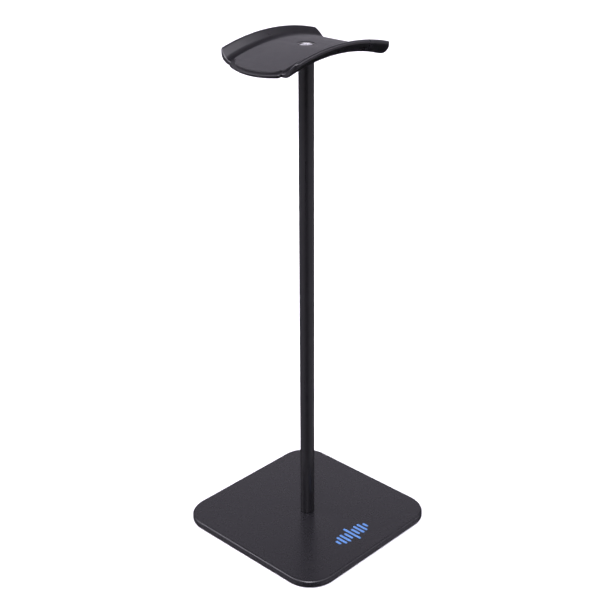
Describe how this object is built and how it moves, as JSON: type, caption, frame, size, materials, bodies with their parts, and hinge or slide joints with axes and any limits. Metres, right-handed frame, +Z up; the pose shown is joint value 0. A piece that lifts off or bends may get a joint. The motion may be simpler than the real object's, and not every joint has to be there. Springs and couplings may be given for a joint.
{
  "type": "headphone stand",
  "caption": "Desk stand for headphones: a weighted square base with rounded corners, a slim round pole and an arched saddle with two flared lips and a soft inlay.",
  "frame": {"origin": "on the surface that the stand rests on, under the axis of the pole", "axes": "+Z up along the pole; +X along the headband, over the arch of the saddle; -Y towards the front, where the printed mark is"},
  "size_m": [0.105, 0.105, 0.2837],
  "materials": {
    "cover_black": "satin moulded plastic with a fine grain",
    "saddle_black": "satin moulded plastic",
    "pole_black": "black anodised, satin",
    "pad_rubber": "matte soft rubber",
    "foot_foam": "matte closed-cell foam",
    "plate_steel": "zinc plated",
    "screw_steel": "bright zinc plated",
    "plug_brass": "plain turned brass",
    "tape_white": "thin double-sided tape",
    "ink_blue": "pad-printed ink"
  },
  "bodies": {
    "root": {"base_cover": "cover_black", "weight_plate": "plate_steel", "weight_plate_tape": "tape_white", "anti_slip_pad": "foot_foam", "anti_slip_pad_film": "tape_white", "base_screw": "screw_steel", "pole_tube": "pole_black", "pole_lower_plug": "plug_brass", "pole_upper_plug": "plug_brass", "saddle_shell": "saddle_black", "saddle_pad": "pad_rubber", "saddle_pad_film": "tape_white", "saddle_screw": "screw_steel", "saddle_screw_washer": "screw_steel", "printed_mark": "ink_blue"}
  },
  "joints": []
}
